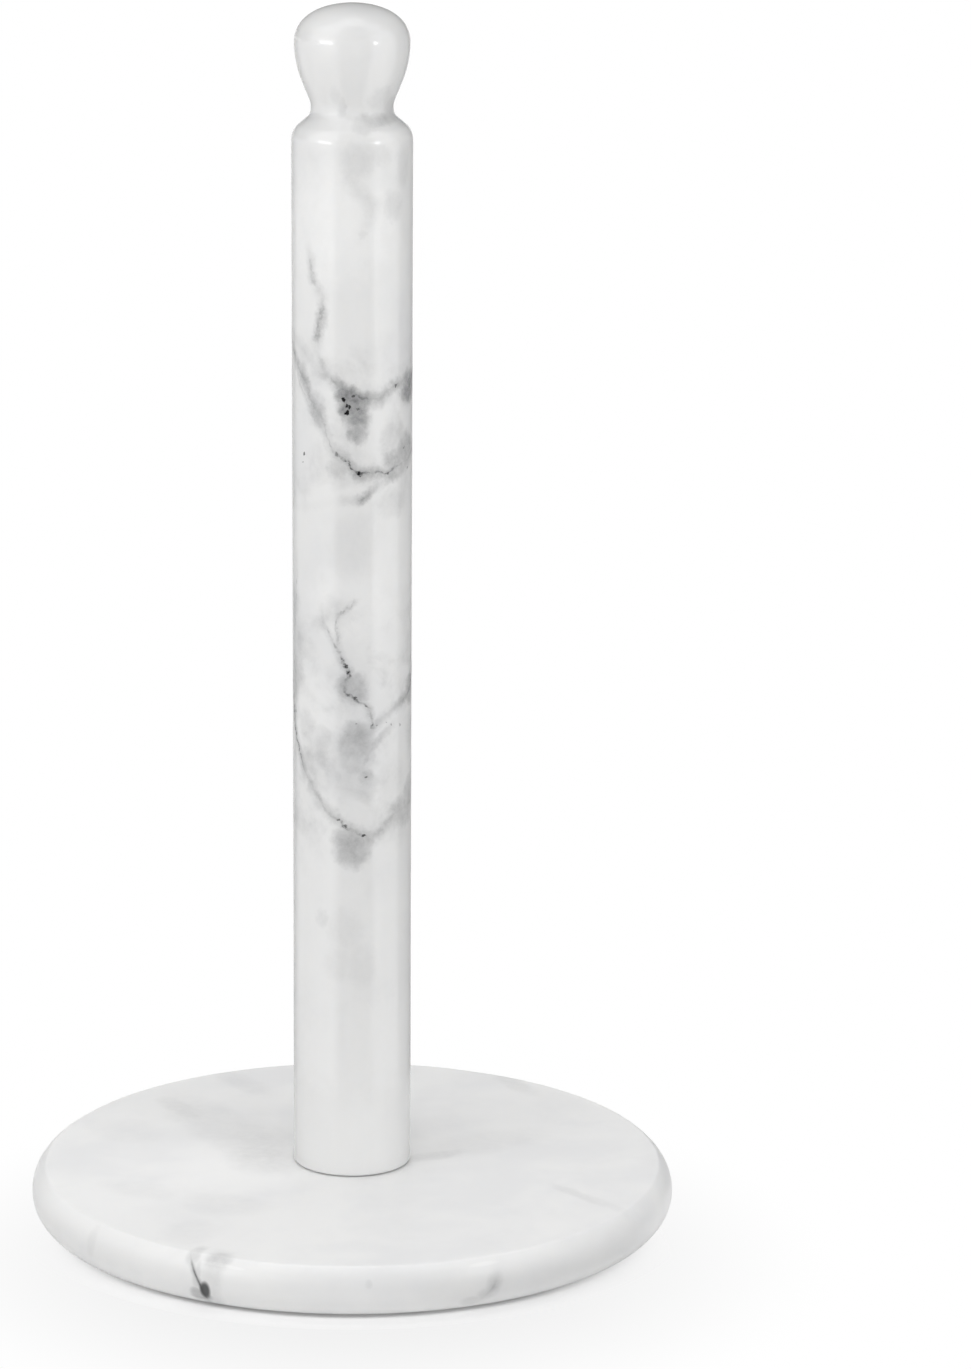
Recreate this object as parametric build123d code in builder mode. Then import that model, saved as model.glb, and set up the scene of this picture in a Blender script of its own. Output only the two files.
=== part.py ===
from build123d import *
import os

# Free-standing paper towel holder in polished marble: a round base, and a turned pole that screws into it.
# Millimetres, +Z up, front towards -Y, origin on the table under the middle of the base.

# Base: a disc with a rounded rim, widest a little below the middle of its thickness
base_radius = 82.5
base_thickness = 12.0
rim_widest_height = 5.3  # of the widest line, above the underside
rim_top_inset = 3.45  # from the widest line in to the corner at the flat top
rim_bottom_inset = 2.6  # from the widest line in to the corner at the underside
rim_top_easing = 1.2  # radius that softens the corner round the flat top
rim_bottom_easing = 0.6
hole_mouth_chamfer = 0.5  # where the stud goes in, under the pole's foot

# Pads: thin rubber discs stuck to the underside
pad_radius = 10.0
pad_thickness = 0.8
pad_inset = 20.5  # from the base's widest line to a pad's middle
pad_first_angle = 45.0
pad_edge_easing = 0.2

# Pole: a plain column, then a shoulder, a neck and a domed knob
pole_radius = 15.0
pole_straight_length = 265.2  # from the foot to the corner of the shoulder
foot_easing = 0.8
shoulder_rise = 3.9
shoulder_easing = 5.0
neck_depth = 4.8  # how far the neck is cut in from the column's surface
neck_corner_height = 2.0  # from the neck's lower corner to its narrowest line
neck_easing = 2.6
knob_relief = 0.75  # the knob is this much under the column, so that a roll's core slides past
knob_flare_height = 15.6  # from the neck's narrowest line up to the knob's widest
knob_crown_height = 9.4  # from the knob's widest line up to its top

# Lengths of the knob's curve handles: how long the outline follows each end's own direction
flare_lower_handle = 2.6
flare_upper_handle = 8.4
crown_side_handle = 6.4
crown_top_handle = 7.1

# Thread: M8, drawn at its crests
thread_radius = 4.0
thread_clearance = 0.05
stud_chamfer = 0.8
stud_end_recess = 0.2  # from the nut's underside up to the stud's end

# Nut: a boss up through the base, with a flange in a counterbore underneath
nut_boss_radius = 7.0
nut_flange_radius = 13.0
nut_flange_thickness = 2.0
nut_recess = 1.0  # from the base's underside up to the flange
nut_top_sink = 1.0  # from the base's flat top down to the boss
nut_thread_chamfer = 0.6
nut_edge_chamfer = 0.3

# Insert: a grooved sleeve in the pole's foot
insert_radius = 6.0
insert_length = 30.0
insert_sink = 0.5  # from the washer's seat up to the sleeve
insert_chamfer = 0.4
groove_count = 3
groove_width = 1.5
groove_depth = 0.5

# Washer: spares the stone between foot and base, in a shallow seat in the foot
washer_inset = 3.0  # from the column's surface in to the washer's edge
washer_thickness = 0.8
washer_proud = 0.15  # how far it stands out of the foot
washer_seat_clearance = 0.3
washer_bore_clearance = 0.08

# Layer of adhesive round the bonded metal
bond_gap = 0.1

# Radii that follow from the sizes above
thread_bore_radius = thread_radius + thread_clearance
nut_hole_radius = nut_boss_radius + bond_gap
nut_counterbore_radius = nut_flange_radius + bond_gap
insert_bore_radius = insert_radius + bond_gap
washer_radius = pole_radius - washer_inset
washer_seat_radius = washer_radius + washer_seat_clearance
washer_bore_radius = thread_radius + washer_bore_clearance
neck_radius = pole_radius - neck_depth
knob_radius = pole_radius - knob_relief
pad_circle_radius = base_radius - pad_inset

# Heights above the table
base_bottom = pad_thickness
rim_widest_level = base_bottom + rim_widest_height
base_top = base_bottom + base_thickness
nut_bottom = base_bottom + nut_recess
nut_seat_level = nut_bottom + nut_flange_thickness
nut_top = base_top - nut_top_sink
foot_level = base_top + washer_proud
washer_seat_level = base_top + washer_thickness
insert_bottom = washer_seat_level + insert_sink
insert_top = insert_bottom + insert_length
insert_bore_end = insert_top + bond_gap
stud_bottom = nut_bottom + stud_end_recess
shoulder_level = foot_level + pole_straight_length
neck_corner_level = shoulder_level + shoulder_rise
neck_level = neck_corner_level + neck_corner_height
knob_widest_level = neck_level + knob_flare_height
knob_top = knob_widest_level + knob_crown_height

os.makedirs("parts", exist_ok=True)

# Base
rim_widest = (base_radius, rim_widest_level)
rim_upper_end = (base_radius - rim_top_inset, base_top)
rim_lower_end = (base_radius - rim_bottom_inset, base_bottom)
with BuildPart() as base:
    with BuildSketch(Plane.XZ):
        with BuildLine():
            Polyline(rim_lower_end, (0, base_bottom), (0, base_top), rim_upper_end)
            TangentArc(rim_widest, rim_upper_end, tangent=(0, 1))
            TangentArc(rim_widest, rim_lower_end, tangent=(0, -1))
        make_face()
    revolve(axis=Axis.Z)
    fillet(base.edges().group_by(Axis.Z)[-1], rim_top_easing)
    fillet(base.edges().group_by(Axis.Z)[0], rim_bottom_easing)
    with Locations(Plane((0, 0, base_bottom), z_dir=(0, 0, -1))):
        CounterBoreHole(nut_hole_radius, nut_counterbore_radius, nut_seat_level - base_bottom)
    hole_mouth = base.faces().sort_by(Axis.Z)[-1].inner_wires().edges()
    chamfer(hole_mouth, hole_mouth_chamfer)
base.part.label = "base"
export_step(base.part, "parts/base.step")

# Flanged nut, bonded into the base from underneath
with BuildPart() as base_nut:
    with BuildSketch(Plane.XY.offset(nut_bottom)):
        Circle(nut_flange_radius)
    extrude(amount=nut_flange_thickness)
    chamfer(base_nut.edges().filter_by(GeomType.CIRCLE), nut_edge_chamfer)
    with BuildSketch(Plane.XY.offset(nut_seat_level)):
        Circle(nut_boss_radius)
    extrude(amount=nut_top - nut_seat_level)
    chamfer(base_nut.edges().group_by(Axis.Z)[-1], nut_edge_chamfer)
    with BuildSketch(Plane.XY.offset(nut_bottom)):
        Circle(thread_bore_radius)
    extrude(amount=nut_top - nut_bottom, mode=Mode.SUBTRACT)
    thread_ends = base_nut.edges().filter_by(GeomType.CIRCLE).sort_by(SortBy.RADIUS)[:2]
    chamfer(thread_ends, nut_thread_chamfer)
base_nut.part.label = "base_nut"
export_step(base_nut.part, "parts/base_nut.step")

# Pole with its knob, one turned piece of stone
neck = (neck_radius, neck_level)
knob_widest = (knob_radius, knob_widest_level)
knob_tip = (0, knob_top)
with BuildPart() as pole:
    with BuildSketch(Plane.XZ):
        with BuildLine():
            Polyline(knob_tip, (0, foot_level), (pole_radius, foot_level))
            FilletPolyline(
                (pole_radius, foot_level),
                (pole_radius, shoulder_level),
                (neck_radius, neck_corner_level),
                neck,
                radius=(shoulder_easing, neck_easing),
            )
            Bezier(
                neck,
                (neck_radius, neck_level + flare_lower_handle),
                (knob_radius, knob_widest_level - flare_upper_handle),
                knob_widest,
            )
            Bezier(
                knob_widest,
                (knob_radius, knob_widest_level + crown_side_handle),
                (crown_top_handle, knob_top),
                knob_tip,
            )
        make_face()
    revolve(axis=Axis.Z)
    fillet(pole.edges().group_by(Axis.Z)[0], foot_easing)
    with BuildSketch(Plane.XY.offset(foot_level)):
        Circle(washer_seat_radius)
    extrude(amount=washer_seat_level - foot_level, mode=Mode.SUBTRACT)
    with BuildSketch(Plane.XY.offset(foot_level)):
        Circle(insert_bore_radius)
    extrude(amount=insert_bore_end - foot_level, mode=Mode.SUBTRACT)
pole.part.label = "pole"
export_step(pole.part, "parts/pole.step")

# Brass insert, bonded into the pole's foot, with grooves that key it into the adhesive
groove_spacing = insert_length / (groove_count + 1)
with BuildPart() as pole_insert:
    with BuildSketch(Plane.XY.offset(insert_bottom)):
        Circle(insert_radius)
        Circle(thread_bore_radius, mode=Mode.SUBTRACT)
    extrude(amount=insert_length)
    outer_rims = pole_insert.edges().filter_by(GeomType.CIRCLE).sort_by(SortBy.RADIUS)[-2:]
    chamfer(outer_rims, insert_chamfer)
    for groove in range(1, groove_count + 1):
        groove_bottom = insert_bottom + groove * groove_spacing - groove_width / 2
        with BuildSketch(Plane.XY.offset(groove_bottom)):
            Circle(insert_radius)
            Circle(insert_radius - groove_depth, mode=Mode.SUBTRACT)
        extrude(amount=groove_width, mode=Mode.SUBTRACT)
pole_insert.part.label = "pole_insert"
export_step(pole_insert.part, "parts/pole_insert.step")

# Threaded stud, fixed in the insert and screwed into the nut
with BuildPart() as threaded_stud:
    with BuildSketch(Plane.XY.offset(stud_bottom)):
        Circle(thread_radius)
    extrude(amount=insert_top - stud_bottom)
    chamfer(threaded_stud.edges().filter_by(GeomType.CIRCLE), stud_chamfer)
threaded_stud.part.label = "threaded_stud"
export_step(threaded_stud.part, "parts/threaded_stud.step")

# Washer on the stud, between the pole's foot and the base
with BuildPart() as foot_washer:
    with BuildSketch(Plane.XY.offset(base_top)):
        Circle(washer_radius)
        Circle(washer_bore_radius, mode=Mode.SUBTRACT)
    extrude(amount=washer_thickness)
foot_washer.part.label = "foot_washer"
export_step(foot_washer.part, "parts/foot_washer.step")

# Pads, in order round the base from the back right
pad_names = ("pad_back_right", "pad_back_left", "pad_front_left", "pad_front_right")
pad_step = 360 / len(pad_names)
for place, pad_name in enumerate(pad_names):
    with BuildPart() as pad:
        with BuildSketch():
            with PolarLocations(pad_circle_radius, 1, start_angle=pad_first_angle + place * pad_step):
                Circle(pad_radius)
        extrude(amount=pad_thickness)
        fillet(pad.edges().group_by(Axis.Z)[0], pad_edge_easing)
    pad.part.label = pad_name
    export_step(pad.part, f"parts/{pad_name}.step")
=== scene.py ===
import math

import bpy
import numpy as np
from mathutils import Euler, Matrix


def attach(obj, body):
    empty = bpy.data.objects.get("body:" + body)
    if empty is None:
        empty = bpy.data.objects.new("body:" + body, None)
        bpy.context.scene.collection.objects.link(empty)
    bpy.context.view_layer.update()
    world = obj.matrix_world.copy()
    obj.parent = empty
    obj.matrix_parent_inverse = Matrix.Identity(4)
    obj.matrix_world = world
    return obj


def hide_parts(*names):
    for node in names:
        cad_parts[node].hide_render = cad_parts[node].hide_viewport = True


# Paper towel holder in polished white marble: a round base, and a turned pole that screws into it.
# Sizes below are in millimetres and become metres in the meshes. Front is towards -Y.

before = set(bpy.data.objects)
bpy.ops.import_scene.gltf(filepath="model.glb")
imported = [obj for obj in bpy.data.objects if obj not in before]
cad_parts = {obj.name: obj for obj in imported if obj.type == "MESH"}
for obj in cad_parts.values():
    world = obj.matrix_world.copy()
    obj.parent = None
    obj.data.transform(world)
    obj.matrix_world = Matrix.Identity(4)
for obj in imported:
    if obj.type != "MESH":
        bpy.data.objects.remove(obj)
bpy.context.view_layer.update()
mm = 0.001


def gridCells(rows, columns, ring):
    # four corners of every cell; columns always meet round the turn, rows meet only on a ring
    row = np.arange(rows if ring else rows - 1)[:, None]
    column = np.arange(columns)[None, :]
    after, beside = (row + 1) % rows, (column + 1) % columns
    corners = (row * columns + column, row * columns + beside, after * columns + beside, after * columns + column)
    return np.stack(np.broadcast_arrays(*corners), axis=-1).reshape(-1, 4)


def turnedPiece(name, radius, height, columns, ring=False, middle=(0.0, 0.0), creaseDegrees=32.0):
    # x = radius cos(turn), y = radius sin(turn), z = height; a first or last row of radius 0 becomes one point
    height = np.asarray(height, float).reshape(-1, 1)
    rows = len(height)
    radius = np.broadcast_to(np.asarray(radius, float).reshape(rows, -1), (rows, columns))
    turn = np.linspace(0.0, 2.0 * np.pi, columns, endpoint=False)
    x = middle[0] + radius * np.cos(turn)
    y = middle[1] + radius * np.sin(turn)
    points = np.stack([x, y, np.broadcast_to(height, radius.shape)], axis=-1) * mm
    startsAtTip = not ring and radius[0].max() == 0.0
    endsAtTip = not ring and radius[-1].max() == 0.0
    body = points[int(startsAtTip):rows - int(endsAtTip)]
    vertices = [body.reshape(-1, 3)]
    faces = gridCells(len(body), columns, ring).tolist()
    count = body.shape[0] * columns
    here, beside = np.arange(columns), (np.arange(columns) + 1) % columns
    if startsAtTip:
        vertices.append(points[0, :1])
        faces += np.stack([np.full(columns, count), beside, here], axis=-1).tolist()
        count += 1
    if endsAtTip:
        last = (len(body) - 1) * columns
        vertices.append(points[-1, :1])
        faces += np.stack([last + here, last + beside, np.full(columns, count)], axis=-1).tolist()
    mesh = bpy.data.meshes.new(name)
    mesh.from_pydata(np.concatenate(vertices).tolist(), [], faces)
    mesh.polygons.foreach_set("use_smooth", np.ones(len(mesh.polygons), bool))
    mesh.set_sharp_from_angle(angle=math.radians(creaseDegrees))
    mesh.update()
    piece = bpy.data.objects.new(name, mesh)
    bpy.context.scene.collection.objects.link(piece)
    print(name, len(mesh.vertices), "points")
    return piece


def runs(corners, steps):
    # straight runs from corner to corner, each in its own number of even steps, without the last corner
    pairs = zip(corners, corners[1:], steps)
    return np.concatenate([np.linspace(start, end, count, endpoint=False) for start, end, count in pairs])


def arc(centre, radius, fromDegrees, toDegrees, steps):
    # centre + radius (cos, sin) of an angle that goes evenly from one end to the other, without the last point
    angle = np.radians(np.linspace(fromDegrees, toDegrees, steps, endpoint=False))
    return np.stack([centre[0] + radius * np.cos(angle), centre[1] + radius * np.sin(angle)], axis=-1)


def handleCurve(start, startHandle, endHandle, end, steps):
    # cubic curve: each point is the four given ones weighed by (1-t)^3, 3t(1-t)^2, 3t^2(1-t) and t^3
    t = np.linspace(0.0, 1.0, steps, endpoint=False)[:, None]
    weights = ((1 - t) ** 3, 3 * t * (1 - t) ** 2, 3 * t**2 * (1 - t), t**3)
    return sum(w * np.array(p) for w, p in zip(weights, (start, startHandle, endHandle, end)))


def easedCorner(before, corner, after, radius, steps):
    # arc that touches both runs: its centre lies on the corner's bisector, radius / sin(half angle) away
    before, corner, after = np.array(before), np.array(corner), np.array(after)
    toBefore = (before - corner) / np.linalg.norm(before - corner)
    toAfter = (after - corner) / np.linalg.norm(after - corner)
    half = math.acos(float(np.clip(toBefore @ toAfter, -1, 1))) / 2
    bisector = (toBefore + toAfter) / np.linalg.norm(toBefore + toAfter)
    centre = corner + bisector * radius / math.sin(half)
    spokes = [corner + side * radius / math.tan(half) - centre for side in (toBefore, toAfter)]
    start, end = [math.degrees(math.atan2(spoke[1], spoke[0])) for spoke in spokes]
    end = start + (end - start + 180.0) % 360.0 - 180.0
    return arc(centre, radius, start, end, steps)


def fill(target, values):
    # links what comes from another node, and sets plain values on the sockets themselves
    for socket, value in values.items():
        if isinstance(value, bpy.types.NodeSocket):
            target.id_data.links.new(value, target.inputs[socket])
        else:
            target.inputs[socket].default_value = value


def node(beside, kind, values=None, **settings):
    # made in the same tree as a node or socket that is there already
    made = beside.id_data.nodes.new("ShaderNode" + kind)
    for setting, value in settings.items():
        setattr(made, setting, value)
    fill(made, values or {})
    return made


def calc(operation, first, second=0.0, third=None, clamp=False):
    # the first value comes from a node, the others may be plain
    values = {0: first, 1: second}
    if third is not None:
        values[2] = third
    return node(first, "Math", values, operation=operation, use_clamp=clamp).outputs[0]


def vectorCalc(operation, values, output=0):
    return node(values[0], "VectorMath", values, operation=operation).outputs[output]


def fade(value, fromMin, fromMax, toMin=0.0, toMax=1.0):
    # smooth step from one level to another
    values = {"Value": value, "From Min": fromMin, "From Max": fromMax, "To Min": toMin, "To Max": toMax}
    return node(value, "MapRange", values, interpolation_type="SMOOTHSTEP").outputs[0]


def blendColour(amount, first, second):
    # first where the amount is 0, second where it is 1
    made = node(amount, "Mix", data_type="RGBA")
    sockets = {socket.identifier: index for index, socket in enumerate(made.inputs)}
    fill(made, {sockets["Factor_Float"]: amount, sockets["A_Color"]: first, sockets["B_Color"]: second})
    return next(socket for socket in made.outputs if socket.identifier == "Result_Color")


def noise(vector, size, detail=3.0, roughness=0.5, distortion=0.0, output="Fac"):
    # size is the pattern's rough spacing in millimetres
    values = {"Vector": vector, "Scale": 1.0 / size, "Detail": detail, "Roughness": roughness, "Distortion": distortion}
    return node(vector, "TexNoise", values).outputs[output]


def pattern(vector, setting, low=0.0, high=1.0):
    # a noise of size, detail, roughness and distortion, faded from low to high between two of its levels
    *shape, start, end = setting
    return fade(noise(vector, *shape), start, end, low, high)


def aboutMiddle(value, spread, middle):
    # a 0 to 1 value, spread evenly about a middle
    return calc("MULTIPLY_ADD", value, spread, middle - spread / 2)


def drawnCurve(value, points):
    # smooth curve through given points, both ways from 0 to 1
    made = node(value, "FloatCurve", {"Value": value})
    curve = made.mapping.curves[0]
    for index, (across, up) in enumerate(points):
        point = curve.points[index] if index < 2 else curve.points.new(across, up)
        point.location = (across, up)
    for point in curve.points:
        point.handle_type = "AUTO_CLAMPED"
    made.mapping.update()
    return made.outputs[0]


def bumps(height, strength, depth, invert=False):
    values = {"Height": height, "Strength": strength, "Distance": depth}
    return node(height, "Bump", values, invert=invert).outputs[0]


def newMaterial(name):
    material = bpy.data.materials.new(name)
    material.use_nodes = True
    return material, material.node_tree.nodes["Principled BSDF"]


def millimetres(shader):
    # object coordinates times 1000
    return vectorCalc("SCALE", {0: node(shader, "TexCoord").outputs["Object"], "Scale": 1.0 / mm})


def outAndHeight(position):
    # distance from the upright axis, and height
    x, y, z = node(position, "SeparateXYZ", {0: position}).outputs
    flat = node(position, "CombineXYZ", {0: x, 1: y}).outputs[0]
    return vectorCalc("LENGTH", {0: flat}, "Value"), z


def turnAndHeight(position):
    # degrees from the front, positive to the right, and height
    x, y, z = node(position, "SeparateXYZ", {0: position}).outputs
    return calc("MULTIPLY", calc("ARCTAN2", x, calc("MULTIPLY", y, -1.0)), 180.0 / math.pi), z


def grey(level):
    return (level, level, level, 1.0)


baseShape = {
    "radius": 82.5, "bottom": 0.8, "top": 12.8, "widestLevel": 6.1, "rimDepth": 6.0,
    "topInset": 3.45, "bottomInset": 2.6, "topEasing": 1.2, "bottomEasing": 0.6,
    "hole": 7.1, "counterbore": 13.1, "seat": 3.8, "mouthChamfer": 0.5,
    # places where the edge is rubbed away: degrees from the front, half width, depth
    "wear": [(-23.6, 4.2, 0.5), (24.2, 3.0, 0.4), (70, 6.0, 0.15), (-118, 7.0, 0.2), (155, 5.0, 0.2)],
    "wearLevel": 12.2, "wearRise": 1.5, "columns": 480,
}


def baseOutline(shape):
    # up the rim on two arcs that leave its widest line upright, with an eased corner at each end, then in over
    # the top, down the hole, out along the counterbore and back along the underside
    radius, level, top, bottom = (shape[key] for key in ("radius", "widestLevel", "top", "bottom"))
    hole, counterbore, seat, chamfer = (shape[key] for key in ("hole", "counterbore", "seat", "mouthChamfer"))
    topEasing, bottomEasing = shape["topEasing"], shape["bottomEasing"]

    def sideArc(end, inset, easing, way):
        # leaves the widest line upright and comes in by inset at the end's height, with radius
        # (rise^2 + inset^2) / 2 inset; then the eased corner's middle, and the angle at which both arcs meet
        side = (abs(end - level) ** 2 + inset**2) / (2 * inset)
        drop = end - way * easing - level
        reach = math.sqrt((side - easing) ** 2 - drop**2)
        return side, (radius - side + reach, level + drop), math.degrees(math.atan2(drop, reach))

    upper, topCorner, upperTurn = sideArc(top, shape["topInset"], topEasing, 1)
    lower, bottomCorner, lowerTurn = sideArc(bottom, shape["bottomInset"], bottomEasing, -1)
    inside = [
        (topCorner[0], top), (hole + chamfer, top), (hole, top - chamfer), (hole, seat),
        (counterbore, seat), (counterbore, bottom), (bottomCorner[0], bottom),
    ]
    return np.concatenate([
        arc(bottomCorner, bottomEasing, -90.0, lowerTurn, 6),
        arc((radius - lower, level), lower, lowerTurn, 0.0, 14),
        arc((radius - upper, level), upper, 0.0, upperTurn, 14),
        arc(topCorner, topEasing, upperTurn, 90.0, 14),
        runs(inside, (22, 2, 4, 3, 3, 16)),
    ])


def rubbedRim(outline, shape):
    # radius less depth * e^-(degrees apart / half width)^4 * e^-(height apart / rise)^2, on the rim only
    degrees = np.linspace(0.0, 360.0, shape["columns"], endpoint=False)[None, :] + 90.0
    radius, height = outline[:, :1], outline[:, 1:]
    onRim = (radius > shape["radius"] - shape["rimDepth"]) & (height > shape["widestLevel"])
    upright = np.exp(-((height - shape["wearLevel"]) / shape["wearRise"]) ** 2) * onRim
    lost = 0.0
    for middle, halfWidth, depth in shape["wear"]:
        apart = (degrees - middle + 180.0) % 360.0 - 180.0
        lost = lost + depth * np.exp(-((apart / halfWidth) ** 4)) * upright
    return radius - lost


outline = baseOutline(baseShape)
base = turnedPiece("baseStone", rubbedRim(outline, baseShape), outline[:, 1], baseShape["columns"], ring=True)
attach(base, "base")
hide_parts("base")


poleShape = {
    "radius": 15.0, "foot": 12.95, "footEasing": 0.8, "shoulder": 278.15, "shoulderEasing": 5.0,
    "neckRadius": 10.2, "neckCorner": 282.05, "neckEasing": 2.6, "neck": 284.05,
    "knobRadius": 14.25, "knobWidest": 299.65, "knobTop": 309.05,
    "flareLower": 2.6, "flareUpper": 8.4, "crownSide": 6.4, "crownTop": 7.1,
    "washerSeat": 12.3, "washerSeatLevel": 13.6, "bore": 6.1, "boreEnd": 44.2,
    "columns": 192,
}


def poleOutline(shape):
    # out of the blind bore, across the washer's seat and the foot, up the column, over the shoulder into the neck,
    # and along the knob's two handle curves to its tip
    radius, foot, easing = shape["radius"], shape["foot"], shape["footEasing"]
    bore, boreEnd, seat, seatLevel = (shape[key] for key in ("bore", "boreEnd", "washerSeat", "washerSeatLevel"))
    shoulder = (radius, shape["shoulder"])
    neckCorner, neck = (shape["neckRadius"], shape["neckCorner"]), (shape["neckRadius"], shape["neck"])
    widest, tip = (shape["knobRadius"], shape["knobWidest"]), (0.0, shape["knobTop"])
    underneath = [
        (0.0, boreEnd), (bore, boreEnd), (bore, seatLevel), (seat, seatLevel), (seat, foot), (radius - easing, foot),
    ]
    shoulderArc = easedCorner((radius, foot), shoulder, neckCorner, shape["shoulderEasing"], 12)
    neckArc = easedCorner(shoulder, neckCorner, (neck[0], tip[1]), shape["neckEasing"], 10)
    flareStart = (neck[0], neck[1] + shape["flareLower"])
    flareEnd = (widest[0], widest[1] - shape["flareUpper"])
    crownStart = (widest[0], widest[1] + shape["crownSide"])
    return np.concatenate([
        runs(underneath, (2, 6, 3, 2, 2)),
        arc((radius - easing, foot + easing), easing, -90.0, 0.0, 8),
        runs([(radius, foot + easing), shoulderArc[0]], [70]),
        shoulderArc,
        neckArc,
        handleCurve(neck, flareStart, flareEnd, widest, 28),
        handleCurve(widest, crownStart, (shape["crownTop"], tip[1]), tip, 30),
        [tip],
    ])


outline = poleOutline(poleShape)
pole = turnedPiece("poleStone", outline[:, 0], outline[:, 1], poleShape["columns"])
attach(pole, "pole")
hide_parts("pole")


threadShape = {"crest": 4.0, "depth": 0.767, "pitch": 1.25, "crestFlat": 0.0625, "rootStart": 0.375, "clearance": 0.1}
studShape = {"bottom": 2.0, "top": 44.1, "chamfer": 0.8, "rowsPerTurn": 10, "columns": 64}
nutShape = {
    "bottom": 1.8, "seat": 3.8, "top": 11.8, "boss": 7.0, "flange": 13.0, "edge": 0.3, "mouth": 0.6, "mouthGap": 0.05,
    "rowsPerTurn": 10, "columns": 64,
}
rowNudge = 1e-6  # keeps a row of the thread off its two ends


def threadRadius(height, columns):
    # right-hand thread: the crest follows height = pitch * turn, the flanks fall evenly from it to the root
    turn = np.linspace(0.0, 1.0, columns, endpoint=False)[None, :]
    phase = (np.asarray(height).reshape(-1, 1) / threadShape["pitch"] - turn) % 1.0
    fromCrest = np.abs(phase - 0.5)
    fall = (fromCrest - threadShape["crestFlat"]) / (threadShape["rootStart"] - threadShape["crestFlat"])
    return threadShape["crest"] - threadShape["depth"] * np.clip(fall, 0.0, 1.0)


def threadRows(shape):
    # heights on one shared spacing, so that stud and nut are cut by the same steps, with both ends added;
    # then each height's distance from the nearer end
    start, end = shape["bottom"], shape["top"]
    step = threadShape["pitch"] / shape["rowsPerTurn"]
    inner = np.arange(math.ceil(start / step + rowNudge), math.floor(end / step - rowNudge) + 1) * step
    rows = np.concatenate([[start], inner, [end]])
    return rows, np.minimum(rows - start, end - rows)[:, None]


rows, fromEnd = threadRows(studShape)
taper = threadShape["crest"] - studShape["chamfer"] + np.minimum(fromEnd, studShape["chamfer"])
tipRow = np.zeros((1, studShape["columns"]))
studRadius = np.concatenate([tipRow, np.minimum(threadRadius(rows, studShape["columns"]), taper), tipRow])
studHeight = np.concatenate([rows[:1], rows, rows[-1:]])
stud = turnedPiece("studThread", studRadius, studHeight, studShape["columns"])
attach(stud, "pole")
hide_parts("threaded_stud")

# the nut's outside from the flange up to the boss, then down through its bore, which flares at both mouths
flange, boss, seat, edge = (nutShape[key] for key in ("flange", "boss", "seat", "edge"))
low, high = nutShape["bottom"], nutShape["top"]
corners = [
    (flange - edge, low), (flange, low + edge), (flange, seat - edge), (flange - edge, seat),
    (boss, seat), (boss, high - edge), (boss - edge, high),
]
outside = np.concatenate([runs(corners, (2, 3, 2, 3, 5, 2)), corners[-1:]])
rows, fromEnd = (values[::-1] for values in threadRows(nutShape))
flare = threadShape["crest"] + nutShape["mouthGap"] + nutShape["mouth"] - fromEnd
boreRadius = np.maximum(threadRadius(rows, nutShape["columns"]) + threadShape["clearance"], flare)
nutRadius = np.concatenate([np.repeat(outside[:, :1], nutShape["columns"], axis=1), boreRadius])
nutHeight = np.concatenate([outside[:, 1], rows])
nut = turnedPiece("baseNut", nutRadius, nutHeight, nutShape["columns"], ring=True)
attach(nut, "base")
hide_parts("base_nut")


washerShape = {"inner": 4.08, "outer": 12.0, "bottom": 12.8, "top": 13.6, "easing": 0.15, "columns": 96}
padShape = {"radius": 10.0, "thickness": 0.8, "circle": 62.0, "easing": 0.2, "columns": 72}
padAngles = {"pad_back_right": 45.0, "pad_back_left": 135.0, "pad_front_left": 225.0, "pad_front_right": 315.0}


def washerOutline(shape):
    # a flat ring whose four corners are eased by quarter arcs
    bottom, top, easing = shape["bottom"], shape["top"], shape["easing"]
    inner, outer = shape["inner"] + easing, shape["outer"] - easing
    return np.concatenate([
        arc((outer, bottom + easing), easing, -90.0, 0.0, 5),
        arc((outer, top - easing), easing, 0.0, 90.0, 5),
        runs([(outer, top), (inner, top)], [4]),
        arc((inner, top - easing), easing, 90.0, 180.0, 5),
        arc((inner, bottom + easing), easing, 180.0, 270.0, 5),
        runs([(inner, bottom), (outer, bottom)], [4]),
    ])


def padOutline(shape):
    # out along the sole, round its eased edge, up the side and back in along the stuck face
    radius, easing, high = shape["radius"], shape["easing"], shape["thickness"]
    return np.concatenate([
        runs([(0.0, 0.0), (radius - easing, 0.0)], [6]),
        arc((radius - easing, easing), easing, -90.0, 0.0, 6),
        runs([(radius, easing), (radius, high), (0.0, high)], (3, 3)),
        [(0.0, high)],
    ])


outline = washerOutline(washerShape)
washer = turnedPiece("footWasher", outline[:, 0], outline[:, 1], washerShape["columns"], ring=True)
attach(washer, "washer")
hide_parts("foot_washer")

outline = padOutline(padShape)
pads = []
for padNode, angle in padAngles.items():
    place = (padShape["circle"] * math.cos(math.radians(angle)), padShape["circle"] * math.sin(math.radians(angle)))
    pad = turnedPiece(padNode + "Rubber", outline[:, 0], outline[:, 1], padShape["columns"], middle=place)
    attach(pad, "base")
    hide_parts(padNode)
    pads.append(pad)


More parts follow.
